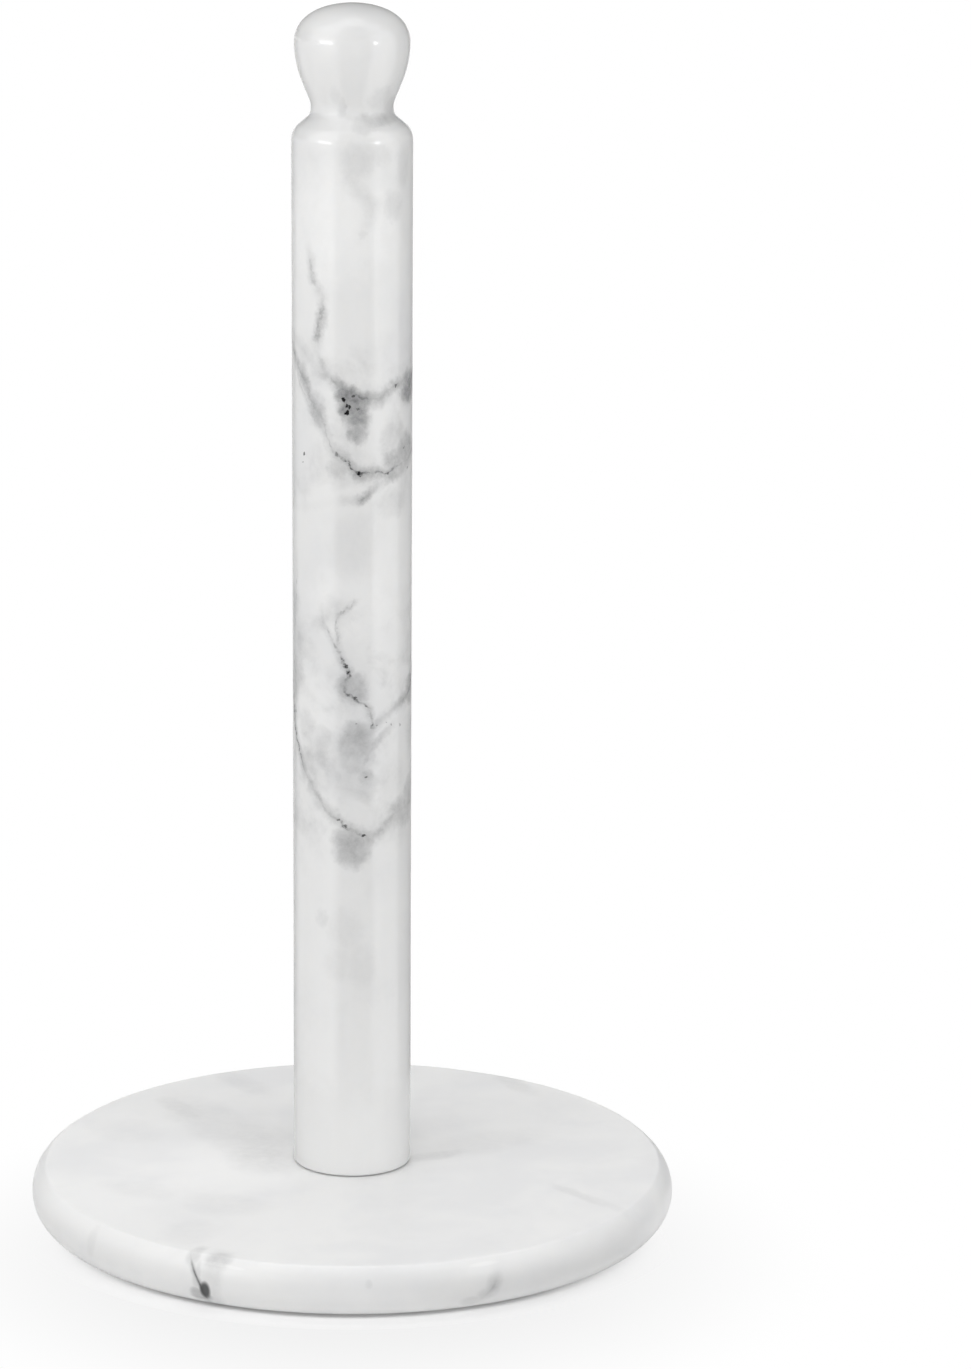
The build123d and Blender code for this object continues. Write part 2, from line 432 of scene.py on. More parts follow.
poleMarble = {
    "white": (0.81, 0.81, 0.805, 1.0), "cloud": (0.765, 0.767, 0.77, 1.0), "pale": (0.86, 0.86, 0.855, 1.0),
    "smoke": (0.13, 0.133, 0.14, 1.0), "vein": (0.03, 0.031, 0.033, 1.0), "fleck": (0.01, 0.01, 0.011, 1.0),
    "gloss": 0.95, "roughness": 0.15, "veinRoughness": 0.07, "wideWarp": 2.0, "fineWarp": 2.4,
    "ragged": 1.8, "raggedSize": 3.6, "unbroken": 0.2, "speckle": 0.12, "depth": 3.0, "depthAmount": 0.6,
    # sheets of grey that run round the pole: height at some degrees from the front, then how dark the thin core and
    # the smoke beside it are at some degrees, nothing at the ends unless given, and the half widths of core and smoke
    "around": [
        {"path": {-180: 240, -130: 238, -100: 233, -76: 225, -60: 220.5, -47: 216.5, -41: 212.5, -29: 209, -24: 205,
                  -16: 200.5, -5: 198.5, 0: 197, 8: 195, 15: 195, 23: 195.5, 34: 195, 43: 196, 66: 197.5, 90: 202,
                  130: 222, 180: 240},
         "core": {-76: 0.2, -55: 0.2, -41: 0.15, -24: 0.15, -18: 0.45, -14: 0.7, 0: 0.8, 8: 1, 12: 0.6, 23: 0.45,
                  34: 0.65, 45: 0.2, 90: 0.1},
         "smoke": {-180: 0.1, -110: 0.25, -76: 0.32, -60: 0.38, -47: 0.44, -35: 0.42, -27: 0.28, -22: 0.18, -14: 0.3,
                   0: 0.35, 8: 0.4, 15: 0.36, 34: 0.44, 43: 0.42, 66: 0.34, 90: 0.3, 180: 0.1},
         "halfWidths": (0.45, 2.0)},
        {"path": {-180: 236, -120: 234, -84: 227, -67: 221.5, -57: 216.5, -42: 210.5, -32: 206.5, -20: 203, 60: 200,
                  130: 222, 180: 236},
         "core": {-84: 0, -55: 0.1, -40: 0.1, -30: 0},
         "smoke": {-100: 0.1, -67: 0.16, -50: 0.2, -42: 0.22, -36: 0.1, -28: 0}, "halfWidths": (0.35, 1.2)},
        {"path": {-180: 236, -60: 226, -25: 219.5, -20: 218.5, -15: 217.5, -7: 215.8, 2: 215, 8: 214, 13: 213.4,
                  24: 213.4, 34: 215.3, 44: 216.8, 55: 216.8, 73: 217.8, 95: 220, 130: 228, 180: 236},
         "core": {-28: 0, -20: 0.15, 0: 0.2, 10: 0.3, 18: 0.1, 40: 0.2, 46: 0.35, 55: 0.05, 70: 0.2, 90: 0.3, 120: 0.1},
         "smoke": {-180: 0.1, -60: 0.1, -28: 0.12, -20: 0.28, -13: 0.44, -7: 0.6, 2: 0.62, 10: 0.6, 16: 0.5, 25: 0.35,
                   34: 0.34, 44: 0.4, 55: 0.34, 66: 0.45, 85: 0.5, 110: 0.3, 180: 0.1}, "halfWidths": (0.5, 2.2)},
        {"path": {-180: 184, -60: 186, -14: 188, -1: 188.3, 5: 188.4, 10: 189, 17: 190.5, 30: 193, 45: 194, 120: 192,
                  180: 184},
         "core": {5: 0, 10: 0.2, 15: 0},
         "smoke": {-180: 0.08, -70: 0.03, -20: 0.03, -8: 0.13, 0: 0.16, 5: 0.28, 10: 0.5, 17: 0.36, 24: 0.24, 34: 0.14,
                   46: 0.02, 100: 0.04, 180: 0.08}, "halfWidths": (0.6, 1.6)},
        {"path": {-180: 160, -60: 148, 15: 130, 23: 131.5, 32: 133, 41: 134.5, 53: 136, 68: 138, 75: 139.5, 82: 142,
                  100: 147, 130: 153, 180: 160},
         "core": {18: 0, 60: 0.05, 70: 0.25, 80: 0.35, 100: 0.2},
         "smoke": {-180: 0.1, -60: 0, 8: 0, 15: 0.22, 23: 0.27, 32: 0.2, 41: 0.23, 53: 0.3, 68: 0.4, 80: 0.46, 100: 0.3,
                   180: 0.1}, "halfWidths": (0.6, 1.8)},
        {"path": {-180: 110, 0: 118, 13: 122.5, 21: 126, 34: 129, 50: 131, 180: 135},
         "smoke": {6: 0, 13: 0.22, 21: 0.23, 34: 0.19, 44: 0.08, 54: 0}, "halfWidths": (0.4, 1.3)},
        {"path": {-180: 150, -100: 132, -61: 123, -52: 119, -42: 115, -33: 111.5, -24: 109, -14: 107.5, -6: 105, 2: 104,
                  11: 103, 19: 102.5, 28: 103.5, 37: 106, 47: 108, 70: 108.7, 82: 110.5, 130: 128, 180: 150},
         "core": {-40: 0, -24: 0.1, -16: 0.45, -10: 0.7, -4: 0.55, 2: 0.15, 11: 0.45, 16: 0.05, 60: 0.05, 82: 0.15,
                  120: 0.05},
         "smoke": {-180: 0.1, -60: 0, -48: 0.1, -40: 0.2, -28: 0.24, -14: 0.3, 0: 0.3, 14: 0.26, 28: 0.25, 50: 0.27,
                   70: 0.27, 90: 0.25, 130: 0.15, 180: 0.1}, "halfWidths": (0.5, 1.9)},
    ],
    # the same for sheets that run down it: degrees at some heights
    "down": [
        {"path": {212: -8, 217.5: -15, 218.5: -20, 219.5: -25, 223: -29, 225.5: -33, 228.5: -34, 232.5: -31, 236.5: -29,
                  240.5: -32, 242.5: -39, 245: -41, 249: -44, 251: -47, 258: -52},
         "core": {219.5: 0.1, 223: 0.1, 226: 0, 228: 0.15, 230: 0.3, 233: 0.35, 236: 0.25, 239.5: 0.05, 243: 0.2,
                  246: 0.2, 249: 0},
         "smoke": {217: 0.25, 220: 0.2, 223: 0.18, 225.5: 0.08, 228: 0.3, 231: 0.4, 234: 0.4, 237: 0.24, 240: 0.14,
                   243: 0.2, 246: 0.22, 249: 0.12, 252: 0.05}, "halfWidths": (0.8, 1.9)},
        {"path": {128: 22, 131: 20, 133: 18, 135: 15, 137: 7, 138.5: 0, 141: -7, 142.5: -6, 145: -3, 146.5: -6,
                  148: -10, 150: -13, 153.5: -20, 156.5: -27, 159: -29, 163: -32},
         "core": {130: 0, 131: 0.3, 133: 0.3, 135: 0.3, 137: 0.45, 138.5: 0.7, 140: 0.45, 141.5: 0.2, 143.5: 0.4,
                  145: 0.8, 147: 0.65, 148.5: 0.9, 150: 0.3, 153: 0.35, 157: 0.1, 160: 0.05},
         "smoke": {130: 0.05, 131: 0.2, 135: 0.2, 138.5: 0.3, 141: 0.3, 145: 0.26, 148: 0.26, 150: 0.18, 153.5: 0.17,
                   157: 0.12}, "halfWidths": (0.55, 1.6)},
        {"path": {147: -11, 150: -14, 153: -14, 156: -15, 159: -12, 161.5: -3, 164: 4},
         "core": {150: 0.1, 153: 0.15, 156: 0.25, 159: 0.25, 161: 0.25},
         "smoke": {150: 0.08, 154: 0.15, 159: 0.2, 162: 0.18}, "halfWidths": (0.45, 1.3)},
        {"path": {108: -24, 111.5: -33, 115: -42, 119: -52, 123: -61, 126: -68, 130.5: -74, 139: -77, 151: -75,
                  161.5: -69, 175: -64},
         "core": {111: 0.15, 115: 0.05, 119: 0.15, 122: 0.5, 124: 0.85, 126: 0.9, 130.5: 0.9, 139: 0.6, 145: 0.35,
                  151: 0.3, 161: 0.35, 168: 0.1},
         "smoke": {112: 0.3, 119: 0.26, 126: 0.34, 135: 0.3, 151: 0.14}, "halfWidths": (0.45, 1.6)},
        {"path": {250: 2, 255: 10, 258.5: 17, 261: 18, 263: 13, 264.5: 6, 266.5: 2, 270: -2, 274: 2},
         "smoke": {256: 0.05, 260: 0.1, 263: 0.13, 266: 0.1, 270: 0.1}, "halfWidths": (0.5, 2.8)},
    ],
    # smoky patches: degrees, height, half width, half height, strength
    "patches": [
        (-5, 214.5, 3, 2.4, 0.64), (1, 212, 3.4, 2.8, 0.66), (4, 209, 2.8, 3.4, 0.56), (5, 206, 2.2, 3, 0.48),
        (68, 215.5, 3.4, 3.6, 0.55), (48, 197.5, 4, 3.4, 0.38), (62, 199.5, 4, 4.4, 0.42), (40, 194.5, 2.8, 2, 0.36),
        (-12, 196.5, 2.6, 2.6, 0.2), (0, 176, 5, 7, 0.06), (-1, 141.5, 3.2, 3.4, 0.36), (3, 139.5, 2.8, 2.4, 0.34),
        (74, 139, 2.6, 3.8, 0.42), (7, 129.5, 3.4, 2.8, 0.27), (4, 126, 4.2, 4.2, 0.27), (1, 122.5, 3.6, 3.2, 0.18),
        (13, 118.5, 1.6, 1.6, 0.18), (0, 101.5, 4.8, 3.2, 0.38), (0, 98.8, 4.2, 3.6, 0.37), (-6, 103, 3.2, 2.2, 0.3),
        (2, 96.8, 2.6, 2.4, 0.18), (58, 108, 4.8, 3.8, 0.28), (71, 111.5, 2.8, 4, 0.28), (-52, 118, 1.6, 2.6, 0.16),
        (-42, 114.5, 2, 2.2, 0.18), (-33, 111, 2.2, 2, 0.18), (43, 116, 4, 5, 0.07), (-30, 81, 1.8, 2.2, 0.1),
        (-6, 78.5, 4, 5, 0.08), (-12, 69.5, 4, 4, 0.07), (8, 69, 4, 5, 0.08), (-33, 121, 5, 7, 0.12),
        (5, 272, 3.6, 4.4, 0.1), (28, 273, 2.8, 2.2, 0.1), (42, 261, 2.8, 3.2, 0.13), (56, 270, 2.4, 4.2, 0.1),
        (9, 254.5, 1, 1.1, 0.1), (-15, 284.5, 1.6, 2.2, 0.1), (-22, 287.5, 1.8, 2.4, 0.08), (40, 286, 4.2, 3.2, 0.12),
        (60, 284, 3.2, 2.6, 0.15), (12, 280.3, 2.6, 1.8, 0.14), (22, 281.6, 3.2, 1.6, 0.2), (40, 281.8, 3.8, 1.6, 0.22),
        (60, 282, 3.2, 1.4, 0.16), (44, 204, 3.4, 5, 0.2), (40, 187, 4, 3, 0.1), (-68, 143, 3, 5, 0.26),
        (-50, 130, 2.6, 4, 0.14), (-18, 160, 3, 4, 0.1), (-74, 161, 3, 4, 0.16), (-66, 150, 2.6, 4, 0.14),
        (150, 205, 9, 14, 0.22), (-140, 130, 8, 16, 0.22), (160, 90, 9, 12, 0.22), (-120, 260, 7, 10, 0.18),
    ],
    # places where the stone is whiter: the same; the fourth to the ninth, wide and soft, are painted light that
    # brightens the foot, the lower pole and the middle at heights 163 and 256
    "paleAndPaintedLight": [
        (-45, 131, 6, 12, 0.7), (-22, 136, 4, 6, 0.45), (30, 160, 6, 16, 0.35), (-30, 75, 12, 28, 0.8),
        (40, 70, 10, 25, 0.4), (0, 20, 30, 20, 0.4), (5, 48, 26, 14, 0.8), (0, 163, 10, 8, 0.8), (-20, 256, 14, 12, 1),
        (-38, 123, 1.5, 2.6, 0.8), (-30, 118, 1.5, 2, 0.7), (-25, 125, 2, 2.2, 0.6), (-23, 101.5, 2, 2.6, 0.8),
        (-43, 133, 1.6, 3, 0.9),
    ],
    # bands in which the stone is mottled: height, half height, strength
    "mottles": [(206, 26, 0.13), (131, 38, 0.18), (262, 22, 0.03)],
    # black flecks: degrees, height, size, strength
    "flecks": [
        (-8, 213.5, 0.6, 1), (-5, 212, 0.45, 1), (-2, 211.5, 0.5, 0.9), (-4, 210.4, 0.6, 1), (1, 214.4, 0.4, 0.7),
        (4.5, 211, 0.3, 0.5), (8, 195, 0.6, 0.95), (-53, 199, 0.3, 0.8), (-55, 197, 0.2, 0.7), (46, 216.8, 0.4, 0.7),
        (-7, 146.8, 0.45, 0.7), (-3.5, 145.2, 0.4, 0.7), (4, 131.5, 0.25, 0.4), (19, 131.5, 0.28, 0.5),
        (25, 131.5, 0.28, 0.4), (34, 131.3, 0.3, 0.4), (41, 130.7, 0.25, 0.4), (53, 130, 0.25, 0.35),
        (3, 138, 0.35, 0.6), (11, 136, 0.3, 0.5), (-14, 107.5, 0.35, 0.6), (-8, 106, 0.4, 0.6), (11, 103, 0.45, 0.8),
        (13, 118.3, 0.35, 0.6), (-63, 123.5, 0.35, 0.6), (-70, 133, 0.3, 0.5), (58, 200.5, 0.35, 0.5),
        (66, 195, 0.35, 0.5), (36, 194.8, 0.35, 0.6),
    ],
}
baseMarble = {
    "white": (0.82, 0.82, 0.815, 1.0), "cloud": (0.772, 0.774, 0.777, 1.0), "pale": (0.87, 0.87, 0.865, 1.0),
    "smoke": (0.13, 0.133, 0.14, 1.0), "vein": (0.05, 0.051, 0.053, 1.0), "fleck": (0.055, 0.056, 0.057, 1.0),
    "gloss": 0.5, "roughness": 0.33, "veinRoughness": 0.1, "wideWarp": 4.8, "fineWarp": 1.4,
    "ragged": 1.6, "raggedSize": 6.0, "unbroken": 0.7, "speckle": 0.0, "depth": 3.0, "depthAmount": 0.6,
    # how far in from the edge the marks on the rim start and are full
    "rimFade": (9.0, 5.5),
    # soft clouds seen from above, some of them painted shadow: x, y, half length, half width, degrees from x, strength
    "cloudsAndPaintedShadows": [
        # the first three and the last, which run back to the left from the pole's foot, and the two at 22 and 30
        # degrees, which run back to the right from it, are the pole's soft shadows painted on the top; the rest are
        # clouds in the stone
        (-46, 41, 9, 3, -62, 0.07), (-30, 62, 10, 4, -58, 0.08), (-20, 14, 12, 8, -60, 0.06),
        (21, 1.5, 8, 2.6, 22, 0.12), (34, 12, 16, 7, 30, 0.06), (60, -31, 11, 1.8, -52, 0.07),
        (56, -27, 8, 1.6, -52, 0.05), (-24, -3, 10, 7, -60, 0.1), (-31, -35, 9, 7, -20, 0.06),
        (-54, -24, 9, 5, -30, 0.05), (-40, -56, 6, 8, -20, 0.05), (-60, 22, 10, 7, -50, 0.05),
        (-33, -73, 3.2, 2.4, 10, 0.14), (44, 60, 9, 3, 120, 0.1), (-33, 22, 28, 8, -63, 0.08),
    ],
    # marks on the rim: degrees from the front, height, half width, half height, strength
    "rimHaze": [
        (-27.5, 3.6, 1.5, 1.5, 0.4), (-26.6, 2.9, 2.6, 1, 0.45), (-28.9, 11.8, 1.6, 1.6, 0.2), (-27.4, 8, 1, 2.8, 0.2),
        (-24.2, 11.9, 3, 1.3, 0.12), (24.6, 6.3, 1.6, 2.6, 0.16), (23.4, 4.4, 2.4, 1.4, 0.16),
        (20.8, 3, 2.8, 1.1, 0.16), (2.8, 9.2, 0.8, 0.9, 0.1), (-52, 8.5, 1.5, 3, 0.07), (118, 6.5, 3.4, 3, 0.25),
        (-150, 7, 4, 3.2, 0.25),
    ],
    # painted highlights: whiter strips along the rubbed stretches of the top edge: the same
    "rimPaintedHighlights": [(-24.0, 11.2, 4.2, 0.35, 1.0), (-20.5, 11.0, 2.5, 0.3, 0.6), (23.4, 11.4, 4.0, 0.4, 0.6)],
    # dark knots: the same
    "rimFlecks": [(-25.75, 4.8, 1.35, 2.1, 0.95)],
    # lines on the rim, like the sheets that run down the pole
    "rimVeins": [
        {"path": {2: -25.6, 5.7: -26.5, 8.5: -27.7, 11: -28.9, 13: -29.9},
         "core": {5: 0.8, 6.5: 0.8, 9: 0.7, 10.5: 0.4, 11.6: 0.1},
         "smoke": {2: 0.2, 5: 0.5, 9: 0.4, 11.4: 0.2, 12.4: 0}, "halfWidths": (0.4, 1.0)},
        {"path": {2: 21.8, 4.6: 23.6, 6.4: 24.7, 9.1: 25.3, 13: 26.5},
         "core": {4: 0.05, 6.2: 0.1, 7.2: 0.05, 9: 0},
         "smoke": {2: 0.05, 4: 0.2, 6.2: 0.3, 8: 0.2, 10: 0.05}, "halfWidths": (0.5, 2.0)},
    ],
}


# noises in the stone: size in millimetres, detail, roughness, distortion, and the two levels that it fades between
stonePatterns = {
    "cloud": (26.0, 3.0, 0.5, 0.3, 0.4, 0.72), "streak": (8.0, 4.0, 0.55, 0.5, 0.5, 0.78),
    "mottle": (9.0, 6.0, 0.58, 0.3, 0.4, 0.72), "speckle": (0.6, 2.0, 0.6, 0.0, 0.58, 0.7),
    "tear": (1.5, 4.0, 0.65, 0.0, 0.4, 0.6),
}
# noises that are used over all their levels, then how far each pattern goes
stoneFinish = {
    "wideWarp": (9.0, 2.0), "fineWarp": (1.7, 4.0, 0.62), "raggedDetail": (5.0, 0.6),
    "grain": (2.2, 6.0, 0.72), "polish": (5.0, 4.0, 0.6), "pits": (0.9, 5.0, 0.6),
    "streaks": 0.3, "grainGain": 1.5, "grainLeast": 0.25, "polishSpread": 0.08, "mottleCore": 0.6,
    "depthColours": (1.0, 0.97, 0.93), "smokePits": -0.6, "bumpStrength": 0.08, "bumpDepth": 0.00012,
}
# room kept beside a drawn line, how far a steep one is stretched, where its core is full, how far its smoke reaches
veinDrawing = {"margin": 1.0, "steepest": 4.0, "coreFull": 0.2, "smokeReach": 1.25}
# squared distances at which a round mark is gone and full, on a scale where its ellipse's edge is 1
markEdges = {"smoky": (2.2, 0.0), "fleck": (1.3, 0.5), "knot": (1.7, 0.35), "paintedHighlight": (1.6, 0.2)}


def warped(position, look):
    # position plus two noises about zero, a wide one and a fine one, each times its amount
    moved = position
    for kind in ("wideWarp", "fineWarp"):
        colour = noise(position, *stoneFinish[kind], output="Color")
        centred = vectorCalc("SUBTRACT", {0: colour, 1: (0.5, 0.5, 0.5)})
        shift = vectorCalc("SCALE", {0: centred, "Scale": look[kind]})
        moved = vectorCalc("ADD", {0: moved, 1: shift})
    return moved


def raggedEdges(position, look):
    # a noise about zero, to add to squared distances
    patchy = noise(position, look["raggedSize"], *stoneFinish["raggedDetail"])
    return aboutMiddle(patchy, look["ragged"], 0.0)


def drawnVein(along, across, sheet, scales):
    # distance from a drawn line: |across - line(along)|, made smaller where the line is steep;
    # gives the dark core and the smoke beside it
    path = np.array(list(sheet["path"].items()), float)
    start, end = path[0, 0], path[-1, 0]
    low, high = path[:, 1].min() - veinDrawing["margin"], path[:, 1].max() + veinDrawing["margin"]
    steepest = veinDrawing["steepest"]
    scaledAlong = calc("DIVIDE", calc("SUBTRACT", along, start), end - start)

    def levelAlong(points, lowest=0.0, highest=1.0):
        # places and levels on a 0 to 1 scale both ways, as a curve
        scaled = (points - (start, lowest)) / (end - start, highest - lowest)
        return drawnCurve(scaledAlong, scaled.tolist())

    def darkness(key):
        # nothing at both ends unless the sheet says so
        levels = {start: 0.0, end: 0.0, **sheet.get(key, {})}
        return levelAlong(np.array(sorted(levels.items()), float))

    line = calc("MULTIPLY_ADD", levelAlong(path, low, high), high - low, low)
    alongScale, acrossScale = scales
    slope = np.gradient(path[:, 1] * acrossScale, path[:, 0] * alongScale)
    stretch = np.minimum(np.sqrt(1.0 + slope**2), steepest)
    stretch = calc("MULTIPLY", levelAlong(np.stack([path[:, 0], stretch], 1), 0.0, steepest), steepest)
    apart = calc("ABSOLUTE", calc("SUBTRACT", across, line))
    apart = calc("DIVIDE", calc("MULTIPLY", apart, acrossScale), stretch)
    coreWidth, smokeWidth = sheet["halfWidths"]
    core = fade(apart, coreWidth, coreWidth * veinDrawing["coreFull"])
    smoke = fade(apart, smokeWidth * veinDrawing["smokeReach"], 0.0)
    return calc("MULTIPLY", core, darkness("core")), calc("MULTIPLY", smoke, darkness("smoke"))


def spotSquared(first, second, place, halfSizes, scale=1.0):
    # squared distance from a place, on a scale where the ellipse's edge is 1
    across = calc("MULTIPLY", calc("SUBTRACT", first, place[0]), scale / halfSizes[0])
    up = calc("DIVIDE", calc("SUBTRACT", second, place[1]), halfSizes[1])
    return calc("ADD", calc("MULTIPLY", across, across), calc("MULTIPLY", up, up))


def softMark(squared, kind, amount, ragged=None):
    # full in the middle and gone past the ellipse's edge, which a ragged noise can move in and out
    if ragged is not None:
        squared = calc("ADD", squared, ragged)
    return fade(squared, *markEdges[kind], 0.0, amount)


def gather(values, operation="MAXIMUM"):
    # one after another, the strongest by default
    total = values[0]
    for value in values[1:]:
        total = calc(operation, total, value)
    return total


def roundMarks(turned, marks, kind, ragged=None):
    # the strongest of several marks, each given by degrees, height, half width, half height and strength
    degrees, height, degreeLength = turned
    made = []
    for angle, level, halfWidth, halfHeight, amount in marks:
        squared = spotSquared(degrees, height, (angle, level), (halfWidth, halfHeight), degreeLength)
        made.append(softMark(squared, kind, amount, ragged))
    return gather(made)


def veinsDown(turned, sheets):
    # drawn lines that go by height, with degrees across
    degrees, height, degreeLength = turned
    return [drawnVein(height, degrees, sheet, (1.0, degreeLength)) for sheet in sheets]


def mottled(position, height, bands):
    # faint grey where a noise is high, inside bands of height that fade at both ends
    within = []
    for level, halfHeight, amount in bands:
        away = calc("ABSOLUTE", calc("SUBTRACT", height, level))
        within.append(fade(away, halfHeight, stoneFinish["mottleCore"] * halfHeight, 0.0, amount))
    return calc("MULTIPLY", pattern(position, stonePatterns["mottle"]), gather(within))


def finishStone(shader, look, position, core, smoke, fleck, paleAndPaintedLight):
    # white stone, clouded, whiter in places and brightened by painted light, then smoked, which on the base includes
    # painted shadow, veined and flecked; the smoke is grainy and speckled, the cores are torn into dashes, and the
    # polish is a little duller along both
    streaks = pattern(position, stonePatterns["streak"], 0.0, stoneFinish["streaks"])
    cloud = calc("ADD", pattern(position, stonePatterns["cloud"]), streaks, clamp=True)
    grain = noise(position, *stoneFinish["grain"])
    grain = calc("MULTIPLY_ADD", grain, stoneFinish["grainGain"], stoneFinish["grainLeast"])
    smoke = calc("MULTIPLY", smoke, grain, clamp=True)
    speckle = calc("MULTIPLY", pattern(position, stonePatterns["speckle"]), smoke)
    core = calc("MULTIPLY", core, pattern(position, stonePatterns["tear"], look["unbroken"], 1.0))
    core = calc("MULTIPLY_ADD", speckle, look["speckle"], core, clamp=True)
    colour = look["white"]
    for amount, name in ((cloud, "cloud"), (paleAndPaintedLight, "pale"), (smoke, "smoke"), (core, "vein"), (fleck, "fleck")):
        colour = blendColour(amount, colour, look[name])
    polish = noise(position, *stoneFinish["polish"])
    polish = aboutMiddle(polish, stoneFinish["polishSpread"], look["roughness"])
    polish = calc("MULTIPLY_ADD", calc("MAXIMUM", smoke, core), look["veinRoughness"], polish)
    pits = calc("MULTIPLY_ADD", smoke, stoneFinish["smokePits"], noise(position, *stoneFinish["pits"]))
    fill(shader, {
        "Base Color": colour, "Roughness": polish, "Specular IOR Level": look["gloss"],
        "Subsurface Weight": look["depthAmount"], "Subsurface Radius": stoneFinish["depthColours"],
        "Subsurface Scale": look["depth"] * mm,
        "Normal": bumps(pits, stoneFinish["bumpStrength"], stoneFinish["bumpDepth"]),
    })


def poleStone(look, shape):
    # every mark is placed by degrees and height on the warped position; degreeLength is a degree in millimetres
    material, shader = newMaterial("poleMarble")
    position = millimetres(shader)
    degrees, height = turnAndHeight(warped(position, look))
    degreeLength = shape["radius"] * math.pi / 180.0
    turned = (degrees, height, degreeLength)
    ragged = raggedEdges(position, look)
    veins = [drawnVein(degrees, height, sheet, (degreeLength, 1.0)) for sheet in look["around"]]
    cores, smokes = zip(*veins, *veinsDown(turned, look["down"]))
    patches = roundMarks(turned, look["patches"], "smoky", ragged)
    smoke = gather([*smokes, patches])
    smoke = calc("ADD", smoke, mottled(position, height, look["mottles"]))
    flecks = [(angle, level, size, size, amount) for angle, level, size, amount in look["flecks"]]
    fleck = roundMarks(turned, flecks, "fleck")
    # whiter stone, and wide painted light on the foot, the lower pole and the middle
    paleAndPaintedLight = roundMarks(turned, look["paleAndPaintedLight"], "smoky", ragged)
    finishStone(shader, look, position, gather(cores), smoke, fleck, paleAndPaintedLight)
    return material


def baseStone(look, shape):
    # clouds, some of them painted shadows of the pole, lie by x and y, turned by an angle; marks on the rim, among them
    # painted highlights, lie by degrees and height, and fade out inwards
    material, shader = newMaterial("baseMarble")
    position = millimetres(shader)
    moved = warped(position, look)
    ragged = raggedEdges(position, look)
    smokes = []
    # clouds in the stone, and the pole's soft shadows painted on the top
    for x, y, halfLength, halfWidth, angle, amount in look["cloudsAndPaintedShadows"]:
        cosine, sine = math.cos(math.radians(angle)), math.sin(math.radians(angle))
        along = vectorCalc("DOT_PRODUCT", {0: moved, 1: (cosine, sine, 0)}, "Value")
        beside = vectorCalc("DOT_PRODUCT", {0: moved, 1: (-sine, cosine, 0)}, "Value")
        middle = (x * cosine + y * sine, y * cosine - x * sine)
        squared = spotSquared(along, beside, middle, (halfLength, halfWidth))
        smokes.append(softMark(squared, "smoky", amount, ragged))
    turned = (*turnAndHeight(position), shape["radius"] * math.pi / 180.0)
    rimStart, rimFull = look["rimFade"]
    onRim = fade(outAndHeight(moved)[0], shape["radius"] - rimStart, shape["radius"] - rimFull)
    rimCores, rimSmokes = zip(*veinsDown(turned, look["rimVeins"]))
    haze = roundMarks(turned, look["rimHaze"], "smoky", ragged)
    smokes.append(calc("MULTIPLY", gather([haze, *rimSmokes]), onRim))
    core = calc("MULTIPLY", gather(rimCores), onRim)
    fleck = calc("MULTIPLY", roundMarks(turned, look["rimFlecks"], "knot"), onRim)
    # painted highlights: whiter strips where the rubbed top edge catches the light
    paleAndPaintedLight = calc("MULTIPLY", roundMarks(turned, look["rimPaintedHighlights"], "paintedHighlight"), onRim)
    finishStone(shader, look, position, core, gather(smokes, "ADD"), fleck, paleAndPaintedLight)
    return material


pole.data.materials.append(poleStone(poleMarble, poleShape))
base.data.materials.append(baseStone(baseMarble, baseShape))
print("marble done")

nutSteel = {
    "bright": (0.66, 0.66, 0.65, 1.0), "dull": (0.47, 0.475, 0.48, 1.0), "stain": (0.33, 0.315, 0.28, 1.0),
    "roughness": 0.36, "lineSize": 0.16, "lineDepth": 0.00004,
}
studSteel = {
    "bright": (0.6, 0.6, 0.6, 1.0), "dull": (0.42, 0.425, 0.435, 1.0), "stain": (0.28, 0.265, 0.235, 1.0),
    "roughness": 0.34, "lineSize": 0.1, "lineDepth": 0.00003,
}
insertBrass = {
    "bright": (0.76, 0.56, 0.24, 1.0), "dull": (0.6, 0.42, 0.17, 1.0), "stain": (0.33, 0.21, 0.09, 1.0),
    "roughness": 0.36, "lineSize": 0.2, "lineDepth": 0.00005,
}
# patterns that all three metals share, and how far each dulls them
metalFinish = {
    "ringDetail": (3.0, 0.6), "blotches": (3.5, 5.0, 0.6, 0.4, 0.38, 0.66),
    "stains": (6.0, 6.0, 0.68, 0.0, 0.58, 0.74), "stained": 0.6,
    "ringDulls": 0.3, "blotchDulls": 0.7, "ringSpread": 0.12, "stainRoughness": 0.25, "bumpStrength": 0.5,
}


def turnedMetal(name, look):
    # metal off a lathe: fine rings, which are a noise of distance from the axis and height, over dull blotches
    # and a few stains
    material, shader = newMaterial(name)
    position = millimetres(shader)
    out, height = outAndHeight(position)
    ringPlace = node(out, "CombineXYZ", {0: out, 1: height}).outputs[0]
    rings = noise(ringPlace, look["lineSize"], *metalFinish["ringDetail"])
    blotches = pattern(position, metalFinish["blotches"])
    stains = pattern(position, metalFinish["stains"], 0.0, metalFinish["stained"])
    dulled = calc("MULTIPLY", blotches, metalFinish["blotchDulls"])
    dulled = calc("MULTIPLY_ADD", rings, metalFinish["ringDulls"], dulled, clamp=True)
    colour = blendColour(dulled, look["bright"], look["dull"])
    polish = aboutMiddle(rings, metalFinish["ringSpread"], look["roughness"])
    fill(shader, {
        "Base Color": blendColour(stains, colour, look["stain"]), "Metallic": 1.0,
        "Roughness": calc("MULTIPLY_ADD", stains, metalFinish["stainRoughness"], polish),
        "Normal": bumps(rings, metalFinish["bumpStrength"], look["lineDepth"]),
    })
    return material


